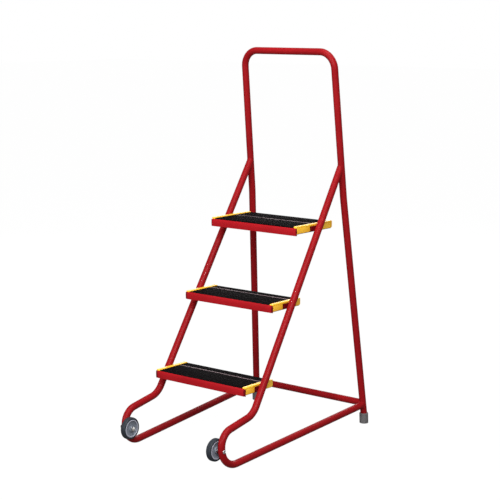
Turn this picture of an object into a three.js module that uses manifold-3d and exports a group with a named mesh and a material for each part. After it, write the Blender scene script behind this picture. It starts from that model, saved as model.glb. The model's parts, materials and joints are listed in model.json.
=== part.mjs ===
// Three-step tilt-and-pull work steps: bent steel tube frame with a rear handrail hoop,
// three folded treads with rubber mats and yellow side caps, two front wheels, two rear feet.
// Units are millimetres. +X is the user's right when climbing, -Y is the front, +Z is up.
import * as THREE from 'three';
import { mergeVertices } from 'three/addons/utils/BufferGeometryUtils.js';
import Module from 'manifold-3d';

const wasm = await Module();
wasm.setup();

// ---- Driving dimensions -------------------------------------------------------------
const GAP = 0.3;                 // clearance left between touching pieces
const TUBE_OD = 25.4;            // one inch round steel tube
const TUBE_WALL = 2.0;
const TUBE_SIDES = 16;

const HOOP_TOP_Z = 1360.3;       // handrail centreline height
const HOOP_TOP_X = 201.7;        // half width at the handrail
const HOOP_TOP_Y = -1.6;
const HOOP_CORNER_R = 60;
const HOOP_KINK = { x: 210.6, y: 55, z: 840 };    // the legs splay below this height
const HOOP_KINK_R = 420;
const LEG_FLOOR = { x: 256.9, y: 140.4 };         // where a leg's axis meets the floor
const LEG_END_Z = 20;            // underside of the leg tube inside its rubber foot

const JOINT = { x: 206.6, z: 954, ahead: 2 };     // where the side frame meets the hoop
const BEND_1 = { x: 219.0, y: -467.5, z: 158.6, r: 70 };
const NOSE_TOP = { x: 219.9, y: -633.6, z: 126.9, r: 54.4 };
const NOSE_LOW = { x: 222.0, y: -633.6, z: 6.8, r: 66.5 };
const RUNNER_END_Z = 69.8;
const CROSSBAR_Z = 76.6;

const TREADS = [
  {
    name: 'tread_1', half: 203.2, front: -492.5, depth: 152, top: 250.4,
    lip: 1.6, notch: [53, 100], joint: 109,
  },
  {
    name: 'tread_2', half: 197.4, front: -338.9, depth: 159.8, top: 510.4,
    lip: 0.7, notch: [60, 116], joint: 120,
  },
  {
    name: 'tread_3', half: 193.3, front: -200.8, depth: 211.3, top: 762.0,
    lip: 3.3, notch: [81, 143], joint: 120,
  },
];
const NOSING_T = 3.6;
const NOSING_H = 26.6;           // its top edge sits `lip` below the face of the mat
const NOSING_OVER = 1.8;         // nosing past the caps at each end
const PAN_T = 2.0;
const PAN_H = 21.9;
const PAN_LIP = 9;
const MAT_T = 3.0;
const CAP_STRIP_W = 13.5;
const CAP_PROUD = 2.8;
const CAP_T = 3.0;
const CAP_H = 22.9;
const CORNER_RELIEF = 4.4;       // open corner between the nosing and the side flange and skirt
const CAP_LEDGE = 4.5;           // depth of cap left above its notch
const JOINT_STRIP_W = 5.4;
const WELD_TAB_H = 15;

const AXLE_Y = -636;
const AXLE_Z = 71.8;
const WHEEL_R = 39;
const WHEEL_W = 21.4;
const RIM_R = 31.5;
const HUB_R = 10.5;
const BUSH_R = 6.6;
const BOLT_R = 4.0;
const BOLT_HOLE_R = 4.35;
const HEX_AF = 13;
const HEAD_R = 6.8;
const HEAD_T = 3.2;
const NUT_T = 7.5;
const WASHER_R = 8.5;
const WASHER_T = 1.6;

const FOOT_R = 16.4;
const FOOT_H = 38.5;
const FOOT_GRIP_Z = 40;          // height where the foot's axis crosses the leg's
const FOOT_LEAN = 0.3;           // the foot stands more upright than the leg it holds

// ---- Materials ----------------------------------------------------------------------
function material(color, roughness, metalness) {
  return new THREE.MeshStandardMaterial({ color, roughness, metalness });
}
const MAT = {
  frame_paint: material(0xa81c23, 0.3, 0.1),
  tread_paint: material(0xb01f28, 0.35, 0.1),
  mat_rubber: material(0x161417, 0.85, 0.0),
  joint_strip: material(0x6b5a5c, 0.5, 0.4),
  yellow_cap: material(0xf2b528, 0.45, 0.0),
  foot_rubber: material(0x5f5f61, 0.75, 0.0),
  tyre_rubber: material(0x33343a, 0.7, 0.0),
  wheel_plastic: material(0x7b7b84, 0.5, 0.0),
  bush_plastic: material(0xd8d6cc, 0.5, 0.0),
  zinc_steel: material(0xc2c4c6, 0.3, 0.9),
};

// ---- Solid helpers ------------------------------------------------------------------
function toSolid(geometry) {
  const g = geometry.clone();
  g.deleteAttribute('normal');
  g.deleteAttribute('uv');
  const m = mergeVertices(g, 1e-4);
  const mesh = new wasm.Mesh({
    numProp: 3,
    vertProperties: new Float32Array(m.attributes.position.array),
    triVerts: new Uint32Array(m.index.array),
  });
  return new wasm.Manifold(mesh);
}

function toGeometry(solid) {
  const mesh = solid.getMesh();
  const g = new THREE.BufferGeometry();
  g.setAttribute('position', new THREE.BufferAttribute(new Float32Array(mesh.vertProperties), 3));
  g.setIndex(new THREE.BufferAttribute(new Uint32Array(mesh.triVerts), 1));
  g.computeVertexNormals();
  return g;
}

function box(x0, x1, y0, y1, z0, z1) {
  const g = new THREE.BoxGeometry(x1 - x0, y1 - y0, z1 - z0);
  g.translate((x0 + x1) / 2, (y0 + y1) / 2, (z0 + z1) / 2);
  return toSolid(g);
}

// A profile of [y, z] corners, each with its own corner radius, pushed along X.
function profileAlongX(corners, x0, x1) {
  const g = new THREE.ExtrudeGeometry(roundedShape(corners), {
    depth: x1 - x0, bevelEnabled: false, curveSegments: 4,
  });
  g.rotateY(Math.PI / 2);
  g.rotateX(Math.PI / 2);
  g.translate(x0, 0, 0);
  return toSolid(g);
}

function roundedShape(corners) {
  const pts = corners.map(([x, y]) => new THREE.Vector2(x, y));
  const shape = new THREE.Shape();
  const n = pts.length;
  for (let i = 0; i < n; i += 1) {
    const here = pts[i];
    const r = corners[i][2] || 0;
    const back = pts[(i + n - 1) % n].clone().sub(here).normalize();
    const on = pts[(i + 1) % n].clone().sub(here).normalize();
    const a = here.clone().addScaledVector(back, r);
    const b = here.clone().addScaledVector(on, r);
    if (i === 0) shape.moveTo(a.x, a.y);
    else shape.lineTo(a.x, a.y);
    if (r > 0) shape.quadraticCurveTo(here.x, here.y, b.x, b.y);
  }
  shape.closePath();
  return shape;
}

// Turns a solid the right way out when its faces come out inward.
function outward(geometry) {
  const solid = toSolid(geometry);
  if (solid.volume() > 0) return solid;
  const g = geometry.index ? geometry.toNonIndexed() : geometry.clone();
  const p = g.attributes.position;
  for (let i = 0; i < p.count; i += 3) {
    const a = new THREE.Vector3().fromBufferAttribute(p, i);
    const b = new THREE.Vector3().fromBufferAttribute(p, i + 1);
    p.setXYZ(i, b.x, b.y, b.z);
    p.setXYZ(i + 1, a.x, a.y, a.z);
  }
  return toSolid(g);
}

// A turned part whose profile is [radius, position along X], spun round the X axis.
function turned(profile, segments) {
  const g = new THREE.LatheGeometry(profile.map(([r, x]) => new THREE.Vector2(r, x)), segments);
  g.rotateZ(-Math.PI / 2);
  return outward(g);
}

function hexAlongX(acrossFlats, x0, x1) {
  const r = acrossFlats / Math.sqrt(3);
  const g = new THREE.CylinderGeometry(r, r, x1 - x0, 6);
  g.rotateZ(-Math.PI / 2);
  g.translate((x0 + x1) / 2, 0, 0);
  return toSolid(g);
}

function rodAlongX(r, x0, x1, y, z, sides) {
  const g = new THREE.CylinderGeometry(r, r, x1 - x0, sides);
  g.rotateZ(-Math.PI / 2);
  g.translate((x0 + x1) / 2, y, z);
  return toSolid(g);
}

// ---- Bent tube ----------------------------------------------------------------------
// A centreline of straight runs joined by arcs. Its stations sit only where the tube bends.
class BentLine extends THREE.Curve {
  constructor(corners, arcSteps) {
    super();
    this.stations = [];
    const pts = corners.map((c) => new THREE.Vector3(c.x, c.y, c.z));
    const last = pts.length - 1;
    this.add(pts[0], pts[1].clone().sub(pts[0]));
    for (let i = 1; i < last; i += 1) {
      this.addBend(pts[i - 1], pts[i], pts[i + 1], corners[i].r, arcSteps[i - 1]);
    }
    this.add(pts[last], pts[last].clone().sub(pts[last - 1]));
  }

  add(point, tangent) {
    this.stations.push({ point, tangent: tangent.clone().normalize() });
  }

  addBend(before, corner, after, r, steps) {
    const back = before.clone().sub(corner).normalize();
    const on = after.clone().sub(corner).normalize();
    const angle = Math.acos(back.dot(on));
    const reach = r / Math.tan(angle / 2);
    const start = corner.clone().addScaledVector(back, reach);
    const centre = corner.clone().addScaledVector(
      back.clone().add(on).normalize(), r / Math.sin(angle / 2),
    );
    const u = start.clone().sub(centre).normalize();
    const v = back.clone().negate();
    const sweep = Math.PI - angle;
    for (let i = 0; i <= steps; i += 1) {
      const t = (sweep * i) / steps;
      const point = centre.clone()
        .addScaledVector(u, r * Math.cos(t))
        .addScaledVector(v, r * Math.sin(t));
      const tangent = u.clone().multiplyScalar(-Math.sin(t)).addScaledVector(v, Math.cos(t));
      this.add(point, tangent);
    }
  }

  get steps() {
    return this.stations.length - 1;
  }

  at(u) {
    return this.stations[Math.round(u * this.steps)];
  }

  getPointAt(u, target = new THREE.Vector3()) {
    return target.copy(this.at(u).point);
  }

  getPoint(u, target = new THREE.Vector3()) {
    return this.getPointAt(u, target);
  }

  getTangentAt(u, target = new THREE.Vector3()) {
    return target.copy(this.at(u).tangent);
  }
}

function circlePoints(r) {
  const pts = [];
  for (let i = 0; i < TUBE_SIDES; i += 1) {
    const a = (2 * Math.PI * (i + 0.5)) / TUBE_SIDES;
    pts.push(new THREE.Vector2(r * Math.cos(a), r * Math.sin(a)));
  }
  return pts;
}

function sweep(line, r, inner = 0) {
  const shape = new THREE.Shape(circlePoints(r));
  if (inner > 0) shape.holes.push(new THREE.Path(circlePoints(inner)));
  return outward(new THREE.ExtrudeGeometry(shape, { steps: line.steps, extrudePath: line }));
}

function tube(line) {
  return sweep(line, TUBE_OD / 2, TUBE_OD / 2 - TUBE_WALL);
}

function envelope(line) {
  return sweep(line, TUBE_OD / 2 + GAP);
}

// ---- Frame geometry -----------------------------------------------------------------
function hoopY(z) {
  if (z < HOOP_KINK.z) return LEG_FLOOR.y + (HOOP_KINK.y - LEG_FLOOR.y) * (z / HOOP_KINK.z);
  const t = (z - HOOP_KINK.z) / (HOOP_TOP_Z - HOOP_KINK.z);
  return HOOP_KINK.y + (HOOP_TOP_Y - HOOP_KINK.y) * t;
}

function legX(z) {
  return LEG_FLOOR.x + (HOOP_KINK.x - LEG_FLOOR.x) * (z / HOOP_KINK.z);
}

function hoopLine() {
  const half = [
    { x: legX(LEG_END_Z), y: hoopY(LEG_END_Z), z: LEG_END_Z },
    { ...HOOP_KINK, r: HOOP_KINK_R },
    { x: HOOP_TOP_X, y: HOOP_TOP_Y, z: HOOP_TOP_Z, r: HOOP_CORNER_R },
  ];
  const other = half.map((c) => ({ ...c, x: -c.x })).reverse();
  return new BentLine([...half, ...other], [2, 9, 9, 2]);
}

function sideLine(side) {
  const corners = [
    { x: JOINT.x, y: hoopY(JOINT.z) - JOINT.ahead, z: JOINT.z },
    BEND_1,
    NOSE_TOP,
    NOSE_LOW,
    { x: legX(RUNNER_END_Z), y: hoopY(RUNNER_END_Z), z: RUNNER_END_Z },
  ];
  return new BentLine(corners.map((c) => ({ ...c, x: side * c.x })), [6, 8, 9]);
}

function stringerInnerX(z) {
  const t = (z - BEND_1.z) / (JOINT.z - BEND_1.z);
  const centre = BEND_1.x + (JOINT.x - BEND_1.x) * t;
  return centre - TUBE_OD / 2;
}

// ---- Scene graph --------------------------------------------------------------------
const SIDES = [['left', -1], ['right', 1]];
const steps = new THREE.Group();
steps.name = 'steps';

function group(name, x, y, z) {
  const g = new THREE.Group();
  g.name = name;
  g.position.set(x, y, z);
  steps.add(g);
  return g;
}

function put(parent, name, solid, mat) {
  const mesh = new THREE.Mesh(toGeometry(solid), MAT[mat]);
  mesh.name = name;
  parent.add(mesh);
}

function handed(solid, side) {
  return side > 0 ? solid : solid.mirror([1, 0, 0]);
}

// ---- Frame --------------------------------------------------------------------------
const frame = group('frame', 0, 0, 0);

// Rear hoop: handrail and both rear legs in one bent tube.
const hoop = hoopLine();
const hoopEnvelope = envelope(hoop);
put(frame, 'rear_hoop', tube(hoop), 'frame_paint');

// Side frames: stringer, nose and runner in one bent tube each, coped to the hoop.
const sideEnvelopes = [];
for (const [word, side] of SIDES) {
  const line = sideLine(side);
  const mid = side * NOSE_TOP.x;
  const drill = rodAlongX(BOLT_HOLE_R, mid - 30, mid + 30, AXLE_Y, AXLE_Z, 12);
  sideEnvelopes.push(envelope(line));
  put(
    frame, `side_frame_${word}`,
    tube(line).subtract(hoopEnvelope).subtract(drill), 'frame_paint',
  );
}

// Rear crossbar between the legs, coped to the legs and to the ends of the runners.
const barHalf = legX(CROSSBAR_Z);
const barLine = new BentLine([
  { x: -barHalf, y: hoopY(CROSSBAR_Z), z: CROSSBAR_Z },
  { x: barHalf, y: hoopY(CROSSBAR_Z), z: CROSSBAR_Z },
], []);
const coped = [hoopEnvelope, ...sideEnvelopes].reduce((bar, cut) => bar.subtract(cut), tube(barLine));
put(frame, 'rear_crossbar', coped, 'frame_paint');

// ---- Treads -------------------------------------------------------------------------
// Each tread has its own frame: y runs back from its front face, z is measured from its top.
function treadPan(t) {
  const half = t.half - CAP_T - GAP;
  const top = -MAT_T - GAP;
  const low = top - PAN_H;
  const back = t.depth - 1;
  const shell = box(-half, half, 1, back, low, top)
    .subtract(box(-half + PAN_T, half - PAN_T, PAN_T, back - PAN_T, low - 5, top - PAN_T));
  const rearLip = box(-half, half, back - PAN_LIP, back, low, low + PAN_T);
  const frontLip = box(-half, half, 1, PAN_LIP, low, low + PAN_T);
  const wide = t.half + NOSING_OVER;
  const nosing = profileAlongX([
    [0, -t.lip - NOSING_H, 1],
    [NOSING_T, -t.lip - NOSING_H, 0.5],
    [NOSING_T, -t.lip, 1.1],
    [0, -t.lip, 2.2],
  ], -wide, wide);
  const reliefBack = NOSING_T + CORNER_RELIEF;
  const relief = box(-half - 1, half + 1, NOSING_T, reliefBack, low - 1, -CAP_LEDGE - PAN_T)
    .subtract(box(-half + 8, half - 8, 0, reliefBack + 1, low - 2, 0));
  return shell.add(rearLip).add(frontLip).subtract(relief).add(nosing);
}

function sideCap(t) {
  const outer = t.half;
  const low = -CAP_H;
  const front = NOSING_T + GAP;
  const shape = roundedShape([
    [outer - CAP_STRIP_W, -MAT_T, 0],
    [outer - CAP_T, -MAT_T, 0],
    [outer - CAP_T, low, 0.8],
    [outer, low, 0.8],
    [outer, CAP_PROUD, 2.2],
    [outer - CAP_STRIP_W, CAP_PROUD, 0.9],
  ]);
  const g = new THREE.ExtrudeGeometry(shape, {
    depth: t.depth - front, bevelEnabled: false, curveSegments: 3,
  });
  g.rotateX(Math.PI / 2);
  g.translate(0, t.depth, 0);
  const notch = box(
    outer - CAP_T - 1, outer + 1, t.notch[0], t.notch[1], low - 1, -CAP_LEDGE,
  );
  const corner = profileAlongX([
    [t.depth - 4, low - 1, 0],
    [t.depth + 1, low - 1, 0],
    [t.depth + 1, low + 4, 0],
  ], outer - CAP_T - 1, outer + 1);
  const relief = box(
    outer - CAP_T - 1, outer + 1, front - 1, NOSING_T + CORNER_RELIEF, low - 1, -CAP_LEDGE,
  );
  return toSolid(g).subtract(notch).subtract(corner).subtract(relief);
}

function slab(t, y0, y1, z0, z1, r) {
  const half = t.half - CAP_STRIP_W - GAP;
  const shape = roundedShape([[-half, y0, r], [half, y0, r], [half, y1, r], [-half, y1, r]]);
  const g = new THREE.ExtrudeGeometry(shape, {
    depth: z1 - z0, bevelEnabled: false, curveSegments: 3,
  });
  g.translate(0, 0, z0);
  return toSolid(g);
}

// The tab fills the notch of the cap and carries the pan's weld to the stringer.
function weldTab(t) {
  const high = -CAP_LEDGE - GAP;
  const outer = stringerInnerX(t.top + high) - GAP;
  return box(t.half - CAP_T, outer, t.notch[0] + 5, t.notch[1] - 5, high - WELD_TAB_H, high);
}

for (const t of TREADS) {
  const g = group(t.name, 0, t.front, t.top);
  const joint0 = t.joint - JOINT_STRIP_W / 2;
  const joint1 = t.joint + JOINT_STRIP_W / 2;
  const frontMat = slab(t, NOSING_T + GAP, joint0 - GAP, -MAT_T, 0, 2);
  const rearMat = slab(t, joint1 + GAP, t.depth - 1, -MAT_T, 0, 2);
  put(g, `${t.name}_pan`, treadPan(t), 'tread_paint');
  put(g, `${t.name}_front_mat`, frontMat, 'mat_rubber');
  put(g, `${t.name}_mat_joint_strip`, slab(t, joint0, joint1, -MAT_T, 0.4, 0), 'joint_strip');
  put(g, `${t.name}_rear_mat`, rearMat, 'mat_rubber');
  for (const [word, side] of SIDES) {
    put(g, `${t.name}_side_cap_${word}`, handed(sideCap(t), side), 'yellow_cap');
    put(g, `${t.name}_weld_tab_${word}`, handed(weldTab(t), side), 'tread_paint');
  }
}

// ---- Wheels and axles ---------------------------------------------------------------
// Each wheel has its own frame: x runs outward from the middle of the wheel, y and z from
// its axle. The stack from the nose tube inward is spacer washer, wheel, nut washer, nut.
const HALF_W = WHEEL_W / 2;
const SPACER_X = HALF_W + GAP;
const TUBE_INNER_X = SPACER_X + WASHER_T + GAP;
const HEAD_X = TUBE_INNER_X + TUBE_OD + GAP;
const NUT_WASHER_X = -HALF_W - GAP - WASHER_T;
const NUT_X = NUT_WASHER_X - GAP - NUT_T;
const NOSE_X = NOSE_TOP.x + (NOSE_LOW.x - NOSE_TOP.x) * (NOSE_TOP.z - AXLE_Z) / (NOSE_TOP.z - NOSE_LOW.z);
const WHEEL_MID_X = NOSE_X - TUBE_OD / 2 - TUBE_INNER_X;

function ring(r0, r1, x0, x1, segments) {
  return turned([[r0, x0], [r1, x0], [r1, x1], [r0, x1], [r0, x0]], segments);
}

function tyre() {
  const h = HALF_W - 0.6;
  const bead = RIM_R + GAP;
  return turned([
    [bead, -h], [WHEEL_R - 4.5, -h], [WHEEL_R - 1.6, -h + 1.6], [WHEEL_R - 0.3, -h + 4.6],
    [WHEEL_R, 0], [WHEEL_R - 0.3, h - 4.6], [WHEEL_R - 1.6, h - 1.6], [WHEEL_R - 4.5, h],
    [bead, h], [bead, -h],
  ], 36);
}

function wheelCentre() {
  const web = 4;
  const h = HALF_W;
  const bore = BUSH_R + GAP;
  const half = [
    [bore, h - 0.6], [HUB_R, h - 0.6], [HUB_R + 1.5, web], [RIM_R - 5, web],
    [RIM_R - 4, h], [RIM_R - 1, h], [RIM_R, h - 1],
  ];
  const other = half.map(([r, x]) => [r, -x]).reverse();
  return turned([...half, ...other, half[0]].reverse(), 36);
}

function axleBolt() {
  const shank = rodAlongX(BOLT_R, NUT_X - 2.5, HEAD_X + 1, 0, 0, 12);
  const head = turned([
    [0, HEAD_X], [HEAD_R, HEAD_X], [HEAD_R - 0.6, HEAD_X + 1.6],
    [HEAD_R - 3, HEAD_X + HEAD_T], [0, HEAD_X + HEAD_T],
  ], 20);
  return shank.add(head);
}

function lockNut() {
  const hole = rodAlongX(BOLT_R + GAP, NUT_X - 1, NUT_X + NUT_T + 1, 0, 0, 12);
  return hexAlongX(HEX_AF, NUT_X, NUT_X + NUT_T).subtract(hole);
}

for (const [word, side] of SIDES) {
  const g = group(`wheel_${word}`, side * WHEEL_MID_X, AXLE_Y, AXLE_Z);
  const spacer = ring(BOLT_HOLE_R, WASHER_R, SPACER_X, SPACER_X + WASHER_T, 20);
  const nutWasher = ring(BOLT_HOLE_R, WASHER_R, NUT_WASHER_X, NUT_WASHER_X + WASHER_T, 20);
  const bush = ring(BOLT_HOLE_R, BUSH_R, -HALF_W, HALF_W, 16);
  put(g, `wheel_${word}_tyre`, handed(tyre(), side), 'tyre_rubber');
  put(g, `wheel_${word}_centre`, handed(wheelCentre(), side), 'wheel_plastic');
  put(g, `wheel_${word}_bush`, handed(bush, side), 'bush_plastic');
  put(g, `axle_bolt_${word}`, handed(axleBolt(), side), 'zinc_steel');
  put(g, `axle_nut_${word}`, handed(lockNut(), side), 'zinc_steel');
  put(g, `axle_spacer_washer_${word}`, handed(spacer, side), 'zinc_steel');
  put(g, `axle_nut_washer_${word}`, handed(nutWasher, side), 'zinc_steel');
}

// ---- Feet ---------------------------------------------------------------------------
// A cup turned about its own axis, bored along the leg and cut flat at the floor.
function rubberFoot() {
  const lean = new THREE.Vector3(
    (HOOP_KINK.x - LEG_FLOOR.x) / HOOP_KINK.z, (HOOP_KINK.y - LEG_FLOOR.y) / HOOP_KINK.z, 1,
  );
  const cup = new THREE.LatheGeometry([
    [0, -8], [FOOT_R, -8], [FOOT_R, FOOT_H - 2], [FOOT_R - 1, FOOT_H], [0, FOOT_H],
  ].map(([r, h]) => new THREE.Vector2(r, h - FOOT_GRIP_Z)), 24);
  const upright = new THREE.Vector3(lean.x * FOOT_LEAN, lean.y * FOOT_LEAN, 1).normalize();
  const up = new THREE.Vector3(0, 1, 0);
  cup.applyQuaternion(new THREE.Quaternion().setFromUnitVectors(up, upright));
  const bore = new THREE.CylinderGeometry(TUBE_OD / 2 + GAP, TUBE_OD / 2 + GAP, 80, TUBE_SIDES);
  const foot = LEG_END_Z - GAP - FOOT_GRIP_Z;
  bore.translate(0, 40 + foot, 0);
  bore.applyQuaternion(new THREE.Quaternion().setFromUnitVectors(up, lean.normalize()));
  return outward(cup)
    .subtract(toSolid(bore))
    .subtract(box(-40, 40, -40, 40, -FOOT_GRIP_Z - 20, -FOOT_GRIP_Z));
}

for (const [word, side] of SIDES) {
  const g = group(`foot_${word}`, side * legX(FOOT_GRIP_Z), hoopY(FOOT_GRIP_Z), FOOT_GRIP_Z);
  put(g, `rubber_foot_${word}`, handed(rubberFoot(), side), 'foot_rubber');
}

// ---- Origin -------------------------------------------------------------------------
// The origin is the middle of the whole object's box, on the floor.
steps.updateMatrixWorld(true);
const span = new THREE.Box3().setFromObject(steps, true);
const middle = span.getCenter(new THREE.Vector3());
steps.position.set(-middle.x, -middle.y, -span.min.z);

const root = new THREE.Group();
root.name = 'tilt_and_pull_steps';
root.add(steps);

export default root;
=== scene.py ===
"""Looks of the three-tread tilt-and-pull steps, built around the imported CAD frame. Metres, +Z up."""
import json
import math

import bmesh
import bpy
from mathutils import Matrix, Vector, noise

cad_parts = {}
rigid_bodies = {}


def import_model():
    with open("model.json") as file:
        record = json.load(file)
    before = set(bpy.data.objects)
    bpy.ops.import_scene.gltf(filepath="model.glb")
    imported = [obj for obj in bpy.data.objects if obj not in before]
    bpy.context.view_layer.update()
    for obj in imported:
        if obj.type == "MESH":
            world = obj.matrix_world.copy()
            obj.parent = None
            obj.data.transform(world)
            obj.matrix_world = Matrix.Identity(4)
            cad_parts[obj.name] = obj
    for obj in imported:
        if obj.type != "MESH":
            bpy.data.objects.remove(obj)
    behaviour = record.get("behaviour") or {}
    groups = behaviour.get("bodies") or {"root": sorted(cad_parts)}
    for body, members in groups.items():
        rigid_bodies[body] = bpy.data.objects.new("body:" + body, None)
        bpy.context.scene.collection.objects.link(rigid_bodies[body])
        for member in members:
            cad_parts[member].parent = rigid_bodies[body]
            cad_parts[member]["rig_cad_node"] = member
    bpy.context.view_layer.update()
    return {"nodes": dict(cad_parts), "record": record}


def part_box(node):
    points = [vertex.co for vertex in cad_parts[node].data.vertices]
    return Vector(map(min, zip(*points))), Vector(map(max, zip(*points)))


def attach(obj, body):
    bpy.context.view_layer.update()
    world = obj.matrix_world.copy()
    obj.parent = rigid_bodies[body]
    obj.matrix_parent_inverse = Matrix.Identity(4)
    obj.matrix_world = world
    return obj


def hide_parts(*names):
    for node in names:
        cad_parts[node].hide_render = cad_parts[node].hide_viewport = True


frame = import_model()
MM = 0.001
SIDES = (("left", -1), ("right", 1))

# ---- Sizes, in millimetres, in the frame used to draw the tubes ---------------------------
TUBE_R = 12.5          # 0.2 under the CAD tube, so that the looks stay inside its box
TUBE_SIDES = 48
HOOP_BENDS = (420, 60, 60, 420)
SIDE_BENDS = (70, 54.4, 66.5)
BEND_STEP = 4.0
HOOP_TOP = (201.7, -1.6, 1360.3)
HOOP_KINK = (210.6, 55.0, 840.0)
LEG_FLOOR = (256.9, 140.4, 0.0)
JOINT = (206.6, 40.6, 954.0)
BEND_1 = (219.0, -467.5, 158.6)
NOSE_TOP = (219.9, -633.6, 126.9)
NOSE_LOW = (222.0, -633.6, 6.8)
RUNNER_END = (253.06, 133.3, 69.8)
CROSSBAR_Z = 76.6
AXLE_Y = -636.0
# At each end of a tread's nosing, over the width given per tread, the nosing is a separate piece in the
# darker enamel that is painted shade.
TREADS = {
    "tread_1": {"half": 203.2, "depth": 152.0, "lip": 1.6, "painted_shade_end": 8.0, "notch": (53, 100), "joint": 109},
    "tread_2": {"half": 197.4, "depth": 159.8, "lip": 0.7, "painted_shade_end": 6.5, "notch": (60, 116), "joint": 120},
    "tread_3": {"half": 193.3, "depth": 211.3, "lip": 3.3, "painted_shade_end": 4.5, "notch": (81, 143), "joint": 120},
}
GAP = 0.3              # left between pieces that touch
NOSING_T = 3.6
NOSING_H = 26.6
NOSING_OVER = 1.8      # nosing past the caps at each end
FOLD_BACK = 0.5        # how far the folded nosing ends sit behind the nosing's face
SHEET_T = 2.0
TRAY_H = 21.9
TRAY_LIP = 9.0         # turned-in edge along the bottom of the tray
MAT_T = 3.0
STRIP_W = 5.4
STRIP_PROUD = 0.4
CAP_PROUD = 2.8
CAP_W = 13.5
CAP_T = 3.0
CAP_H = 22.9
CAP_LEDGE = 4.5        # depth of cap left above its notch
SKIRT_START = 8.0      # front edge of the cap's skirt, behind the nosing's face
TYRE_R = 39.0
RIM_R = 31.5
WHEEL_W = 10.7         # half the width of a wheel
BOLT_HEAD_H = 3.2
NUT_R = 7.5
COLLAR_H = 2.2
FOOT_BASE = Vector((255.36, 137.55, 0))
FOOT_R = 16.3
FOOT_H = 38.5
FOOT_SOCKET_Z = 34.0
FOOT_LEAN = 0.3        # the foot stands more upright than the leg it holds

axle = {w: (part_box(f"wheel_{w}_tyre")[0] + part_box(f"wheel_{w}_tyre")[1]) / 2 for w, _ in SIDES}
BACK = axle["left"].y / MM - AXLE_Y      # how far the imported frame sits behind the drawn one


def place(p, side=1):
    return Vector((side * p[0] * MM, (p[1] + BACK) * MM, p[2] * MM))


# ---- Mesh helpers -------------------------------------------------------------------------
def new_object(name, bm, smooth=35):
    bmesh.ops.remove_doubles(bm, verts=bm.verts, dist=1e-7)
    bmesh.ops.recalc_face_normals(bm, faces=bm.faces)
    mesh = bpy.data.meshes.new(name)
    bm.to_mesh(mesh)
    bm.free()
    for p in mesh.polygons:
        p.use_smooth = True
    mesh.set_sharp_from_angle(angle=math.radians(smooth))
    o = bpy.data.objects.new(name, mesh)
    bpy.context.scene.collection.objects.link(o)
    return o


def rounded(corners, steps=5):
    """A closed 2-D loop of (a, b, radius) corners with each corner turned into an arc."""
    out = []
    n = len(corners)
    for i, (x, y, r) in enumerate(corners):
        here = Vector((x, y))
        back = Vector(corners[i - 1][:2]) - here
        on = Vector(corners[(i + 1) % n][:2]) - here
        if r <= 0:
            out.append(here)
            continue
        angle = back.angle(on)
        reach = min(r / math.tan(angle / 2), 0.49 * min(back.length, on.length))
        r = reach * math.tan(angle / 2)
        centre = here + (back.normalized() + on.normalized()).normalized() * (r / math.sin(angle / 2))
        a = here + back.normalized() * reach - centre
        b = here + on.normalized() * reach - centre
        turn = math.atan2(a.x * b.y - a.y * b.x, a.dot(b))
        for k in range(steps + 1):
            t = turn * k / steps
            c, s = math.cos(t), math.sin(t)
            out.append(centre + Vector((a.x * c - a.y * s, a.x * s + a.y * c)))
    return out


def inset(loop, d):
    n = len(loop)
    area = sum(loop[i - 1].cross(loop[i]) for i in range(n))
    sign = 1 if area > 0 else -1
    out = []
    for i in range(n):
        e1 = (loop[i] - loop[i - 1]).normalized()
        e2 = (loop[(i + 1) % n] - loop[i]).normalized()
        n1, n2 = Vector((-e1.y, e1.x)), Vector((-e2.y, e2.x))
        m = (n1 + n2).normalized()
        out.append(loop[i] + sign * m * (d / max(0.5, m.dot(n1))))
    return out


def prism(bm, loop, low, high, r, to_world, steps=3):
    """Pushes a loop from low to high and rounds both rims by r. to_world turns (a, b, along) into a point."""
    rings = []
    for end in (low, high):
        way = 1 if end == low else -1
        order = range(steps + 1) if end == low else range(steps, -1, -1)
        for k in order:
            t = math.pi / 2 * k / steps
            shape = inset(loop, r * (1 - math.sin(t))) if r > 0 else loop
            along = end + way * r * (1 - math.cos(t))
            rings.append([bm.verts.new(to_world(p.x, p.y, along)) for p in shape])
    n = len(loop)
    for a, b in zip(rings, rings[1:]):
        for i in range(n):
            bm.faces.new((a[i], a[(i + 1) % n], b[(i + 1) % n], b[i]))
    bm.faces.new(rings[0])
    bm.faces.new(rings[-1])


def lathe(name, profile, centre, side, segments=72, wave=None):
    """Spins a closed (radius, outward x) profile, in mm, round an axle along X."""
    bm = bmesh.new()
    rings = []
    for k in range(segments):
        a = 2 * math.pi * k / segments
        ring = []
        for r, x in profile:
            rr = r + (wave(r, x, a) if wave else 0)
            ring.append(bm.verts.new(centre + Vector((side * x, rr * math.sin(a), rr * math.cos(a))) * MM))
        rings.append(ring)
    n = len(profile)
    for k in range(segments):
        a, b = rings[k], rings[(k + 1) % segments]
        for i in range(n):
            j = (i + 1) % n
            if profile[i][0] == 0 and profile[j][0] == 0:
                continue
            bm.faces.new((a[i], a[j], b[j], b[i]))
    bmesh.ops.remove_doubles(bm, verts=bm.verts, dist=1e-8)
    bmesh.ops.dissolve_degenerate(bm, edges=bm.edges, dist=1e-8)
    return new_object(name, bm)


def nosing_run(bm, section, x0, x1, roll0, roll1, to_world, steps=7):
    """Runs the section along X from x0 to x1, its front face rolled back round each end."""
    rings = []
    for end, roll, way in ((x0, roll0, 1), (x1, roll1, -1)):
        for k in range(steps + 1):
            t = math.pi / 2 * (k if way > 0 else steps - k) / steps
            x = end + way * roll * (1 - math.cos(t))
            push = roll * (1 - math.sin(t))
            rings.append([bm.verts.new(to_world(p.x + push * (1 - p.x / NOSING_T), p.y, x)) for p in section])
    n = len(section)
    for a, b in zip(rings, rings[1:]):
        for i in range(n):
            bm.faces.new((a[i], a[(i + 1) % n], b[(i + 1) % n], b[i]))
    bm.faces.new(rings[0])
    bm.faces.new(rings[-1])


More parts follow.
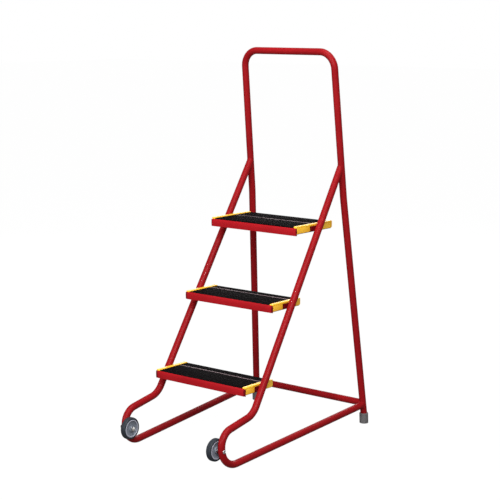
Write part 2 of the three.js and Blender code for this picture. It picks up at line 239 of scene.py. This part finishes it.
# ---- Bent tube ----------------------------------------------------------------------------
def bent_line(corners, radii, step=6.0):
    """Points along straight runs joined by arcs."""
    pts = [corners[0].copy()]
    for i in range(1, len(corners) - 1):
        c = corners[i]
        back = (corners[i - 1] - c).normalized()
        on = (corners[i + 1] - c).normalized()
        angle = back.angle(on)
        r = radii[i - 1]
        reach = r / math.tan(angle / 2)
        centre = c + (back + on).normalized() * (r / math.sin(angle / 2))
        u = (c + back * reach - centre).normalized()
        v = -back
        sweep = math.pi - angle
        count = max(3, int(r * sweep / step) + 1)
        for k in range(count + 1):
            t = sweep * k / count
            pts.append(centre + u * (r * math.cos(t)) + v * (r * math.sin(t)))
    pts.append(corners[-1].copy())
    return pts


def thicken(bm, pts, radius, sides=40, closed=False, max_run=60.0):
    """Sweeps a circle along points in mm, keeping it from twisting."""
    line = []
    for a, b in zip(pts, pts[1:]):
        runs = max(1, int((b - a).length / max_run))
        line += [a.lerp(b, k / runs) for k in range(runs)]
    if not closed:
        line.append(pts[-1])
    n = len(line)
    tangents = []
    for i in range(n):
        before = line[i - 1] if closed or i > 0 else line[i]
        after = line[(i + 1) % n] if closed or i < n - 1 else line[i]
        tangents.append((after - before).normalized())
    side = tangents[0].orthogonal().normalized()
    rings = []
    for i in range(n):
        side = (side - tangents[i] * side.dot(tangents[i])).normalized()
        other = tangents[i].cross(side)
        r = radius(i / n, line[i]) if callable(radius) else radius
        ring = []
        for k in range(sides):
            a = 2 * math.pi * k / sides
            ring.append(bm.verts.new(place(line[i] + (side * math.cos(a) + other * math.sin(a)) * r)))
        rings.append(ring)
    if closed:
        # the last ring meets the first with the fewest turns
        first = rings[0]
        gap = lambda s: sum((rings[-1][k].co - first[(k + s) % sides].co).length for k in range(0, sides, 4))
        shift = min(range(sides), key=gap)
        rings.append([first[(k + shift) % sides] for k in range(sides)])
    for a, b in zip(rings, rings[1:]):
        for k in range(sides):
            bm.faces.new((a[k], a[(k + 1) % sides], b[(k + 1) % sides], b[k]))
    if not closed:
        bm.faces.new(rings[0])
        bm.faces.new(rings[-1])


def mirror(p, side):
    return Vector((side * p[0], p[1], p[2]))


def leg_at(z):
    t = z / HOOP_KINK[2]
    return Vector((
        LEG_FLOOR[0] + (HOOP_KINK[0] - LEG_FLOOR[0]) * t,
        LEG_FLOOR[1] + (HOOP_KINK[1] - LEG_FLOOR[1]) * t, z,
    ))


# ---- Materials ----------------------------------------------------------------------------
class Nodes:
    """Small helper to wire one procedural material."""

    def __init__(self, name):
        self.mat = bpy.data.materials.new(name)
        self.mat.use_nodes = True
        self.tree = self.mat.node_tree
        self.tree.nodes.clear()
        self.out = self.tree.nodes.new("ShaderNodeOutputMaterial")
        self.bsdf = self.tree.nodes.new("ShaderNodeBsdfPrincipled")
        self.link(self.bsdf.outputs[0], self.out.inputs[0])
        self.coord = self.tree.nodes.new("ShaderNodeTexCoord").outputs["Object"]

    def link(self, a, b):
        self.tree.links.new(a, b)

    def scaled(self, scale):
        m = self.tree.nodes.new("ShaderNodeMapping")
        m.inputs["Scale"].default_value = scale
        self.link(self.coord, m.inputs["Vector"])
        return m.outputs[0]

    def noise(self, scale, detail=4, rough=0.55, stretch=None):
        n = self.tree.nodes.new("ShaderNodeTexNoise")
        n.inputs["Scale"].default_value = scale
        n.inputs["Detail"].default_value = detail
        n.inputs["Roughness"].default_value = rough
        self.link(self.scaled(stretch) if stretch else self.coord, n.inputs["Vector"])
        return n.outputs["Fac"]

    def cells(self, scale, feature="F1", stretch=None):
        n = self.tree.nodes.new("ShaderNodeTexVoronoi")
        n.feature = feature
        n.inputs["Scale"].default_value = scale
        self.link(self.scaled(stretch) if stretch else self.coord, n.inputs["Vector"])
        return n.outputs["Distance"]

    def ramp(self, source, low, high, a=0.0, b=1.0):
        n = self.tree.nodes.new("ShaderNodeMapRange")
        n.clamp = True
        for k, v in (("From Min", low), ("From Max", high), ("To Min", a), ("To Max", b)):
            n.inputs[k].default_value = v
        self.link(source, n.inputs["Value"])
        return n.outputs[0]

    def mix(self, fac, a, b):
        n = self.tree.nodes.new("ShaderNodeMix")
        n.data_type = "RGBA"
        self.link(fac, n.inputs["Factor"])
        for value, socket in ((a, n.inputs["A"]), (b, n.inputs["B"])):
            if isinstance(value, tuple):
                socket.default_value = (*value, 1)
            else:
                self.link(value, socket)
        return n.outputs["Result"]

    def add(self, a, b, weight=1.0):
        n = self.tree.nodes.new("ShaderNodeMath")
        n.operation = "MULTIPLY_ADD"
        self.link(b, n.inputs[0])
        n.inputs[1].default_value = weight
        self.link(a, n.inputs[2])
        return n.outputs[0]

    def bump(self, height, distance, strength=1.0):
        n = self.tree.nodes.new("ShaderNodeBump")
        n.inputs["Distance"].default_value = distance
        n.inputs["Strength"].default_value = strength
        self.link(height, n.inputs["Height"])
        self.link(n.outputs[0], self.bsdf.inputs["Normal"])

    def set(self, **values):
        for k, v in values.items():
            self.bsdf.inputs[k.replace("_", " ")].default_value = v


def enamel(name, base, deep, pale, rough=0.3):
    """Sprayed enamel: orange peel, slow thickness change and a few dulled, rubbed patches."""
    m = Nodes(name)
    slow = m.ramp(m.noise(9, 3), 0.35, 0.65)
    rub = m.ramp(m.noise(38, 6, 0.7), 0.62, 0.75)
    colour = m.mix(slow, deep, base)
    colour = m.mix(m.ramp(rub, 0, 1, 0, 0.35), colour, pale)
    m.link(colour, m.bsdf.inputs["Base Color"])
    dull = m.add(m.ramp(m.noise(60, 5), 0.3, 0.7, rough - 0.06, rough + 0.07), rub, 0.12)
    m.link(dull, m.bsdf.inputs["Roughness"])
    m.bump(m.add(m.noise(420, 2), m.noise(1500, 2), 0.25), 0.0002, 0.09)
    m.set(Coat_Weight=0.035, Coat_Roughness=0.05, Specular_IOR_Level=0.06)
    return m.mat


def rubber(name, base, pale, grain=900, depth=0.00025, rough=0.78, shine=0.3):
    m = Nodes(name)
    dust = m.ramp(m.noise(26, 6, 0.7), 0.45, 0.75)
    speck = m.ramp(m.noise(1400, 2), 0.4, 0.75, 0, 0.5)
    colour = m.mix(m.ramp(m.add(dust, speck, 0.6), 0, 1.3, 0, 1), base, pale)
    m.link(colour, m.bsdf.inputs["Base Color"])
    m.link(m.ramp(m.noise(80, 5), 0.3, 0.7, rough - 0.08, rough + 0.08), m.bsdf.inputs["Roughness"])
    m.bump(m.add(m.cells(grain), m.noise(grain * 2, 3), 0.6), depth, 0.6)
    m.set(Specular_IOR_Level=shine)
    return m.mat


def plastic(name, base, deep, rough=0.42, grain=700, rub=None, coat=0.0):
    m = Nodes(name)
    slow = m.ramp(m.noise(16, 4), 0.35, 0.65)
    colour = m.mix(slow, deep, base)
    worn = m.ramp(m.noise(120, 6, 0.75), 0.6, 0.72, 0, 0.45)
    colour = m.mix(worn, colour, rub or base)
    m.link(colour, m.bsdf.inputs["Base Color"])
    m.link(m.ramp(m.noise(90, 5), 0.3, 0.7, rough - 0.07, rough + 0.1), m.bsdf.inputs["Roughness"])
    m.bump(m.noise(grain, 3), 0.00012, 0.5)
    m.set(Specular_IOR_Level=0.4, Coat_Weight=coat, Coat_Roughness=0.3)
    return m.mat


def metal(name, base, deep, rough=0.3, stretch=(1, 14, 14)):
    m = Nodes(name)
    lines = m.noise(240, 5, 0.65, stretch)
    colour = m.mix(m.ramp(lines, 0.3, 0.7), deep, base)
    m.link(colour, m.bsdf.inputs["Base Color"])
    m.link(m.ramp(m.noise(130, 5), 0.3, 0.7, rough - 0.08, rough + 0.14), m.bsdf.inputs["Roughness"])
    m.bump(lines, 0.00008, 0.5)
    m.set(Metallic=1.0)
    return m.mat


MATS = {
    "frame_paint": enamel(
        "red_enamel_tube", (0.262, 0.0062, 0.0088), (0.228, 0.005, 0.0075), (0.285, 0.011, 0.015), 0.4),
    "tread_paint": enamel(
        "red_enamel_sheet", (0.36, 0.0085, 0.013), (0.315, 0.0065, 0.0105), (0.385, 0.015, 0.022), 0.42),
    "mat_rubber": rubber(
        "black_mat", (0.0026, 0.002, 0.0024), (0.0055, 0.0042, 0.0048), 650, 0.0004, 0.9, 0.02),
    "joint_strip": metal("dull_strip", (0.27, 0.19, 0.205), (0.18, 0.125, 0.135), 0.5, (1, 20, 20)),
    "yellow_cap": plastic(
        "safety_yellow", (1.0, 0.58, 0.034), (0.96, 0.51, 0.024), 0.42, 500, (1.0, 0.68, 0.15), 0.5),
    "foot_rubber": rubber("grey_rubber", (0.125, 0.12, 0.122), (0.17, 0.165, 0.167), 800, 0.0002, 0.7),
    "tyre_rubber": rubber(
        "tyre_rubber", (0.0125, 0.017, 0.024), (0.024, 0.030, 0.040), 700, 0.00018, 0.62, 0.35),
    "wheel_plastic": plastic(
        "grey_moulding", (0.20, 0.225, 0.27), (0.165, 0.185, 0.225), 0.45, 600, (0.25, 0.27, 0.31)),
    "bush_plastic": plastic("nylon", (0.62, 0.60, 0.54), (0.54, 0.52, 0.46), 0.4, 800),
    "zinc_steel": metal("bright_zinc", (0.78, 0.79, 0.80), (0.55, 0.57, 0.60), 0.26, (14, 14, 14)),
}

# A darker copy of the sheet enamel that is painted shade, used on the nosing's end pieces, the flanges under
# the caps and the weld tabs.
SHADE_PAINTED_ENAMEL = enamel(
    "red_enamel_painted_shade", (0.135, 0.004, 0.006), (0.115, 0.003, 0.005), (0.16, 0.008, 0.011), 0.42)
# A lighter grey for the rim beads: a painted highlight along the wheel's raised rim lip.
RIM_HIGHLIGHT_FINISH = plastic("rim_bead_painted_highlight", (0.40, 0.41, 0.48), (0.33, 0.34, 0.40), 0.35, 600, (0.46, 0.47, 0.54))


def finish_piece(o, slot, body, *nodes, finish=None):
    o.data.materials.clear()
    o.data.materials.append(finish or MATS[slot])
    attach(o, body)
    if nodes:
        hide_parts(*nodes)
    return o


# Every CAD node gets its slot's finish, except the weld tabs, which get the darker enamel that is painted
# shade; those that stay visible are softened further down.
for node in frame["nodes"].values():
    slot = next(s["material_slot"] for s in frame["record"]["subparts"] if s["node"] == node["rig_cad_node"])
    node.data.materials.clear()
    node.data.materials.append(SHADE_PAINTED_ENAMEL if "_weld_tab_" in node["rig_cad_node"] else MATS[slot])

# ---- Tube frame ---------------------------------------------------------------------------
LEG_END_Z = 20.0       # the leg stops inside its rubber foot
half_hoop = [leg_at(LEG_END_Z), Vector(HOOP_KINK), Vector(HOOP_TOP)]
hoop = half_hoop + [mirror(p, -1) for p in reversed(half_hoop)]
bm = bmesh.new()
thicken(bm, bent_line(hoop, HOOP_BENDS, BEND_STEP), TUBE_R, TUBE_SIDES)
finish_piece(new_object("hoop_tube", bm, 50), "frame_paint", "frame", "rear_hoop")

side_paths = {}
for word, side in SIDES:
    corners = [mirror(p, side) for p in (JOINT, BEND_1, NOSE_TOP, NOSE_LOW, RUNNER_END)]
    side_paths[word] = corners
    bm = bmesh.new()
    thicken(bm, bent_line(corners, SIDE_BENDS, BEND_STEP), TUBE_R, TUBE_SIDES)
    finish_piece(new_object(f"side_tube_{word}", bm, 50), "frame_paint", "frame", f"side_frame_{word}")

bar_end = leg_at(CROSSBAR_Z)
bm = bmesh.new()
thicken(bm, [mirror(bar_end, -1), bar_end], TUBE_R, TUBE_SIDES)
finish_piece(new_object("crossbar_tube", bm, 50), "frame_paint", "frame", "rear_crossbar")


# ---- Weld beads ---------------------------------------------------------------------------
WELD_POINTS = 72
HOOP_WELD = 0.8        # a slight bead where the side frame meets the hoop


def bead_radius(seed, size):
    def radius(t, p):
        ripple = 0.18 * math.sin(2 * math.pi * t * 26)
        return size + ripple + 0.45 * noise.noise(Vector((p.x, p.y, p.z)) * 0.11 + Vector((seed, 0, 0)))
    return radius


def weld_round(bm, start, toward, main_a, main_b, seed, size=2.1):
    """A bead where the tube from start to toward meets the tube on the line main_a to main_b."""
    d = (toward - start).normalized()
    m = (main_b - main_a).normalized()
    u = d.orthogonal().normalized()
    v = d.cross(u)
    ring = []
    for k in range(WELD_POINTS):
        a = 2 * math.pi * k / WELD_POINTS
        p = start + (u * math.cos(a) + v * math.sin(a)) * TUBE_R
        w = p - main_a
        w -= m * w.dot(m)
        dd = d - m * d.dot(m)
        qa, qb, qc = dd.dot(dd), 2 * w.dot(dd), w.dot(w) - TUBE_R ** 2
        root = math.sqrt(max(0.0, qb * qb - 4 * qa * qc))
        ring.append(p + d * ((-qb + root) / (2 * qa)))
    for _ in range(2):
        ring = [(ring[i - 1] + ring[i] * 2 + ring[(i + 1) % WELD_POINTS]) / 4 for i in range(WELD_POINTS)]
    thicken(bm, ring + [ring[0]], bead_radius(seed, size), 10, True, 3.0)


bm = bmesh.new()
for word, side in SIDES:
    corners = side_paths[word]
    weld_round(bm, corners[0], corners[1], mirror(HOOP_KINK, side), mirror(HOOP_TOP, side), side,
               HOOP_WELD)
    weld_round(bm, corners[4], corners[3], mirror(leg_at(0), side), mirror(HOOP_KINK, side), 5 + side)
    weld_round(bm, mirror(bar_end, side), mirror(bar_end, -side), mirror(leg_at(0), side),
               mirror(HOOP_KINK, side), 9 + side)
finish_piece(new_object("frame_welds", bm, 60), "frame_paint", "frame")

# ---- Treads -------------------------------------------------------------------------------
for name, t in TREADS.items():
    low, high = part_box(f"{name}_front_mat")
    top = high.z
    front = low.y - (NOSING_T + GAP) * MM
    d, h = t["depth"], t["half"]

    def side_view(y, z, x, front=front, top=top):
        return Vector((x * MM, front + y * MM, top + z * MM))

    def plan_view(x, y, z, front=front, top=top):
        return Vector((x * MM, front + y * MM, top + z * MM))

    # folded sheet tray and the tall front nosing
    bm = bmesh.new()
    up = -MAT_T - GAP
    lo = up - TRAY_H
    tray = rounded([
        (12, lo, 0.6), (2, lo, 1.5), (2, up, 2.0), (d - 1, up, 3.2), (d - 1, lo, 3.2),
        (d - 2 - TRAY_LIP, lo, 0.6), (d - 2 - TRAY_LIP, lo + SHEET_T, 0.6), (d - 3, lo + SHEET_T, 1.2),
        (d - 3, up - SHEET_T, 1.2), (4, up - SHEET_T, 0.8), (4, lo + SHEET_T, 0.8), (12, lo + SHEET_T, 0.6),
    ], 4)
    prism(bm, tray, -(h - 3.8), h - 3.8, 0.0, side_view)
    lip = -t["lip"]
    foot = lip - NOSING_H
    nosing = rounded([
        (1.3, foot, 0.9), (NOSING_T, foot, 0.6), (NOSING_T, lip, 0.8), (1.7, lip, 1.6),
        (0.35, lip - 5.5, 5.0), (0, lip - 11, 9.0), (0.25, lip - 17, 9.0), (0.75, foot + 5, 6.0),
    ], 6)
    wide = h + NOSING_OVER
    painted_shade_end = t["painted_shade_end"]
    nosing_run(bm, nosing, painted_shade_end - wide, wide - painted_shade_end, 0.7, 0.7, side_view)
    finish_piece(new_object(f"{name}_tray", bm), "tread_paint", "frame", f"{name}_pan")

    # folded corners of the nosing and the flanges under the caps, in the darker enamel that is painted shade
    bm = bmesh.new()
    nosing_run(bm, inset(nosing, FOLD_BACK), -wide, painted_shade_end - wide + 0.9, 2.6, 0.3, side_view)
    nosing_run(bm, inset(nosing, FOLD_BACK), wide - painted_shade_end - 0.9, wide, 0.3, 2.6, side_view)
    for s in (-1, 1):
        flange = rounded([
            (SKIRT_START, lo, 1), (d - 1.1, lo, 3.2), (d - 1.1, up - 0.1, 3.2),
            (SKIRT_START, up - 0.1, 1)], 4)
        prism(bm, flange, *sorted((s * (h - 5.3), s * (h - 3.3))), 0.5, side_view)
    finish_piece(new_object(f"{name}_folds", bm), "tread_paint", "frame", finish=SHADE_PAINTED_ENAMEL)

    # two rubber mats and the strip between them
    j0 = t["joint"] - STRIP_W / 2
    j1 = t["joint"] + STRIP_W / 2
    w = h - CAP_W - GAP
    for label, y0, y1 in (("front_mat", NOSING_T + GAP, j0 - GAP), ("rear_mat", j1 + GAP, d - 1)):
        bm = bmesh.new()
        mat_loop = rounded([(-w, y0, 2), (w, y0, 2), (w, y1, 2), (-w, y1, 2)], 4)
        prism(bm, mat_loop, -MAT_T, 0.0, 0.6, plan_view)
        finish_piece(new_object(f"{name}_{label}_skin", bm), "mat_rubber", "frame", f"{name}_{label}")
    bm = bmesh.new()
    strip = rounded([
        (j0, -MAT_T, 0.3), (j1, -MAT_T, 0.3), (j1, STRIP_PROUD, 0.6), (j0, STRIP_PROUD, 0.6)], 4)
    prism(bm, strip, -w, w, 0.4, side_view)
    finish_piece(new_object(f"{name}_joint", bm), "joint_strip", "frame", f"{name}_mat_joint_strip")

    # yellow side caps: a ledge along the top and a notched skirt down the side
    n0, n1 = t["notch"]
    for word, s in SIDES:
        bm = bmesh.new()
        ledge = rounded([
            (NOSING_T + GAP, -MAT_T, 0.5), (d, -MAT_T, 0.4), (d, CAP_PROUD, 3.5),
            (NOSING_T + GAP, CAP_PROUD, 1.4)], 5)
        prism(bm, ledge, *sorted((s * (h - CAP_W), s * h)), 1.1, side_view, 4)
        skirt = rounded([
            (SKIRT_START, -CAP_H, 0.8), (n0, -CAP_H, 1.5), (n0, -CAP_LEDGE, 2.0), (n1, -CAP_LEDGE, 2.0),
            (n1, -CAP_H, 1.5), (d - 4, -CAP_H, 1.5), (d - 0.1, 4 - CAP_H, 1.5), (d - 0.1, -1.0, 0.5),
            (SKIRT_START, -1.0, 0.5),
        ], 4)
        prism(bm, skirt, *sorted((s * (h - CAP_T), s * (h - 0.05))), 0.7, side_view)
        cap = new_object(f"{name}_cap_{word}", bm)
        finish_piece(cap, "yellow_cap", "frame", f"{name}_side_cap_{word}")

        # bead along the top and bottom of the tab where it meets the stringer
        lo_t, hi_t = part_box(f"{name}_weld_tab_{word}")
        x = (hi_t.x if s > 0 else lo_t.x) / MM
        bm = bmesh.new()
        for k, z in enumerate((hi_t.z, lo_t.z)):
            y_mid = JOINT[1] + (BEND_1[1] - JOINT[1]) * (JOINT[2] - z / MM) / (JOINT[2] - BEND_1[2])
            run = [Vector((x - s * 1.0, y_mid + q, z / MM)) for q in (-9, -3, 3, 9)]
            thicken(bm, run, bead_radius(k + s, 1.5), 10, False, 1.5)
        finish_piece(new_object(f"{name}_tab_weld_{word}", bm, 60), "frame_paint", "frame")


def soften(node, width, segments):
    """Rounds the edges of a CAD node that stays visible."""
    bevel = frame["nodes"][node].modifiers.new("edges", "BEVEL")
    bevel.width = width * MM
    bevel.segments = segments
    bevel.limit_method = "ANGLE"


for word, _ in SIDES:
    for name in TREADS:
        soften(f"{name}_weld_tab_{word}", 0.8, 3)

# ---- Wheels -------------------------------------------------------------------------------
GROOVES = 30
W = WHEEL_W


def loop_of(corners, steps=5):
    return [(p.x, p.y) for p in rounded(corners, steps)]


def tread_blocks(r, x, a):
    """Shallow cross grooves moulded round the tyre's shoulders."""
    if r < TYRE_R - 3 or abs(x) < 3.2:
        return 0.0
    return -0.12 if math.sin(a * GROOVES) > 0.55 else 0.0


for word, s in SIDES:
    c = axle[word]
    tyre = loop_of([
        (RIM_R + 0.3, -W + 0.6, 0.4), (TYRE_R - 3.6, -W + 0.6, 1.6), (TYRE_R - 0.5, -W + 4.0, 3.0),
        (TYRE_R - 0.05, -2.4, 2.0), (TYRE_R - 0.8, -1.2, 0.3), (TYRE_R - 0.8, 1.2, 0.3),
        (TYRE_R - 0.05, 2.4, 2.0), (TYRE_R - 0.5, W - 4.0, 3.0), (TYRE_R - 3.6, W - 0.6, 1.6),
        (RIM_R + 0.3, W - 0.6, 0.4),
    ])
    finish_piece(lathe(f"tyre_{word}", tyre, c, s, 240, tread_blocks), "tyre_rubber", f"wheel_{word}",
                 f"wheel_{word}_tyre")
    face = [
        (7.0, W - 0.4, 0.5), (10.5, W - 0.4, 1.2), (12.0, 4.2, 1.8), (20.0, 4.0, 1.0), (21.0, 4.8, 0.6),
        (26.0, 5.0, 1.6), (27.0, W - 1.0, 0.4), (RIM_R, W - 1.0, 0.4),
    ]
    centre = loop_of(face + [(r, -x, q) for r, x, q in reversed(face)])
    finish_piece(lathe(f"wheel_disc_{word}", centre, c, s, 96), "wheel_plastic", f"wheel_{word}",
                 f"wheel_{word}_centre")
    # raised rim beads on both faces, in the lighter grey that is a painted highlight
    for face_name, q in (("outer", 1), ("inner", -1)):
        bead = loop_of([(27.1, q * (W - 2.0), 0.2), (30.5, q * (W - 2.0), 0.2), (30.5, q * (W - 0.2), 1.2),
                        (27.1, q * (W - 0.2), 1.2)])
        finish_piece(lathe(f"rim_bead_{word}_{face_name}", bead, c, s, 96), "wheel_plastic", f"wheel_{word}",
                     finish=RIM_HIGHLIGHT_FINISH)
    bush = loop_of([(4.4, -W, 0.4), (6.7, -W, 0.4), (6.7, W, 0.4), (4.4, W, 0.4)], 3)
    finish_piece(lathe(f"bush_{word}", bush, c, s, 48), "bush_plastic", f"wheel_{word}", f"wheel_{word}_bush")

    # axle hardware: low domed head outside the tube, washer and lock nut at the inner end
    lo_b, hi_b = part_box(f"axle_bolt_{word}")
    ends = sorted(((lo_b.x - c.x) / MM * s, (hi_b.x - c.x) / MM * s))
    head = ends[1] - BOLT_HEAD_H
    bolt = [(0, ends[0])] + [(p.x, p.y) for p in rounded([
        (3.4, ends[0], 0.1), (4.0, ends[0] + 0.8, 0.2), (4.0, head, 0.1), (6.8, head, 0.4),
        (6.5, head + 1.3, 1.2), (3.6, ends[1], 2.0),
    ], 5)] + [(0, ends[1])]
    finish_piece(lathe(f"bolt_{word}", bolt, c, s, 48), "zinc_steel", "frame", f"axle_bolt_{word}")
    lo_n, hi_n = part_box(f"axle_nut_{word}")
    bm = bmesh.new()
    n_lo, n_hi = sorted(((lo_n.x - c.x) / MM * s, (hi_n.x - c.x) / MM * s))
    hexagon = rounded([
        (NUT_R * math.cos(math.radians(60 * k + 30)), NUT_R * math.sin(math.radians(60 * k + 30)), 0.6)
        for k in range(6)
    ], 3)

    def along_axle(a, b, x, c=c, s=s):
        return c + Vector((s * x, a, b)) * MM

    prism(bm, hexagon, n_lo + 1.6, n_hi, 0.6, along_axle, 3)
    nut = new_object(f"nut_{word}", bm)
    finish_piece(nut, "zinc_steel", "frame", f"axle_nut_{word}")
    collar_end = n_lo + COLLAR_H
    collar = loop_of([
        (4.35, n_lo, 0.5), (5.6, n_lo, 1.2), (6.3, collar_end, 0.4), (4.35, collar_end, 0.2)], 4)
    ring = lathe(f"nut_collar_{word}", collar, c, s, 48)
    finish_piece(ring, "bush_plastic", "frame")

for word, _ in SIDES:
    for node in (f"axle_spacer_washer_{word}", f"axle_nut_washer_{word}"):
        soften(node, 0.3, 2)

# ---- Feet ---------------------------------------------------------------------------------
FOOT_SIDES = 64
lean = Vector((HOOP_KINK[0] - LEG_FLOOR[0], HOOP_KINK[1] - LEG_FLOOR[1], 0)) / HOOP_KINK[2] * FOOT_LEAN
for word, s in SIDES:
    profile = rounded([
        (0, 0, 0), (FOOT_R - 0.2, 0, 1.2), (FOOT_R, 3.4, 0.8), (FOOT_R - 0.6, 4.4, 0.5),
        (FOOT_R - 0.6, 5.4, 0.5), (FOOT_R, 6.4, 0.8), (FOOT_R, 20.0, 0.4), (FOOT_R, 34.4, 0.5),
        (FOOT_R - 0.1, FOOT_H, 1.6), (13.0, FOOT_H, 0.8), (12.95, FOOT_SOCKET_Z, 0.2), (0, FOOT_SOCKET_Z, 0),
    ], 4)
    bm = bmesh.new()
    rings = []
    for k in range(FOOT_SIDES):
        a = 2 * math.pi * k / FOOT_SIDES
        ring = []
        for p in profile:
            middle_line = FOOT_BASE + Vector((lean.x * p.y, lean.y * p.y, p.y))
            q = middle_line + Vector((p.x * math.cos(a), p.x * math.sin(a), 0))
            ring.append(bm.verts.new(place(q, s)))
        rings.append(ring)
    for k in range(FOOT_SIDES):
        a, b = rings[k], rings[(k + 1) % FOOT_SIDES]
        for i in range(len(profile) - 1):
            bm.faces.new((a[i], a[i + 1], b[i + 1], b[i]))
    bmesh.ops.remove_doubles(bm, verts=bm.verts, dist=1e-8)
    bmesh.ops.dissolve_degenerate(bm, edges=bm.edges, dist=1e-8)
    finish_piece(new_object(f"foot_{word}", bm), "foot_rubber", "frame", f"rubber_foot_{word}")

# ---- Floor, light and camera ----------------------------------------------------------------
bm = bmesh.new()
bmesh.ops.create_grid(bm, x_segments=1, y_segments=1, size=30)
floor = new_object("studio_floor", bm)
floor.location.z = -0.0004
fm = bpy.data.materials.new("studio_floor")
fm.use_nodes = True
nt = fm.node_tree
nt.nodes.clear()
out = nt.nodes.new("ShaderNodeOutputMaterial")
glow = nt.nodes.new("ShaderNodeEmission")
glow.inputs["Strength"].default_value = 0.985
paper = nt.nodes.new("ShaderNodeBsdfDiffuse")
paper.inputs["Color"].default_value = (0.03, 0.03, 0.03, 1)
both = nt.nodes.new("ShaderNodeAddShader")
nt.links.new(glow.outputs[0], both.inputs[0])
nt.links.new(paper.outputs[0], both.inputs[1])
nt.links.new(both.outputs[0], out.inputs[0])
floor.data.materials.append(fm)
floor.visible_glossy = False
floor.visible_diffuse = False

world = bpy.data.worlds.new("studio")
bpy.context.scene.world = world
world.use_nodes = True
wt = world.node_tree
wt.nodes.clear()
wout = wt.nodes.new("ShaderNodeOutputWorld")
seen = wt.nodes.new("ShaderNodeBackground")
seen.inputs["Color"].default_value = (1, 1, 1, 1)
seen.inputs["Strength"].default_value = 1.0
fill = wt.nodes.new("ShaderNodeBackground")
fill.inputs["Color"].default_value = (1, 0.98, 0.97, 1)
fill.inputs["Strength"].default_value = 0.25
path = wt.nodes.new("ShaderNodeLightPath")
pick = wt.nodes.new("ShaderNodeMixShader")
wt.links.new(path.outputs["Is Camera Ray"], pick.inputs[0])
wt.links.new(fill.outputs[0], pick.inputs[1])
wt.links.new(seen.outputs[0], pick.inputs[2])
wt.links.new(pick.outputs[0], wout.inputs[0])


def softbox(name, position, target, size, power, seen_by_camera=True):
    data = bpy.data.lights.new(name, "AREA")
    data.shape = "RECTANGLE"
    data.size, data.size_y = size
    data.energy = power
    o = bpy.data.objects.new(name, data)
    bpy.context.scene.collection.objects.link(o)
    o.location = position
    o.rotation_euler = (Vector(target) - Vector(position)).to_track_quat("-Z", "Y").to_euler()
    o.visible_camera = seen_by_camera


middle = Vector((0, 0, 0.65))
softbox("key", (2.1, -2.0, 2.2), middle, (1.8, 1.8), 88)
softbox("front", (-0.4, -4.2, 1.6), middle, (2.4, 1.6), 80)
softbox("over", (0.4, -0.4, 3.6), middle, (2.2, 2.2), 75)
softbox("spark", (0.94, -3.3, 4.1), middle, (0.24, 0.24), 42)
softbox("rear", (-0.6, 4.2, 2.8), middle, (2.2, 2.0), 55, seen_by_camera=False)
softbox("back", (-2.8, 3.6, 1.3), middle, (3.0, 1.4), 32, seen_by_camera=False)

CAMERA_AT = (3147.61, -4063.18, 1496.42)
CAMERA_DOWN = 9.4837
CAMERA_TURN = 39.2885
data = bpy.data.cameras.new("camera")
data.lens = 102.33
data.sensor_width = 36.0
data.clip_end = 100
camera = bpy.data.objects.new("camera", data)
bpy.context.scene.collection.objects.link(camera)
camera.location = place(CAMERA_AT)
camera.rotation_euler = (math.radians(90 - CAMERA_DOWN), 0, math.radians(CAMERA_TURN))
bpy.context.scene.camera = camera
view = bpy.context.scene.view_settings
view.view_transform = "Standard"
view.look = "None"
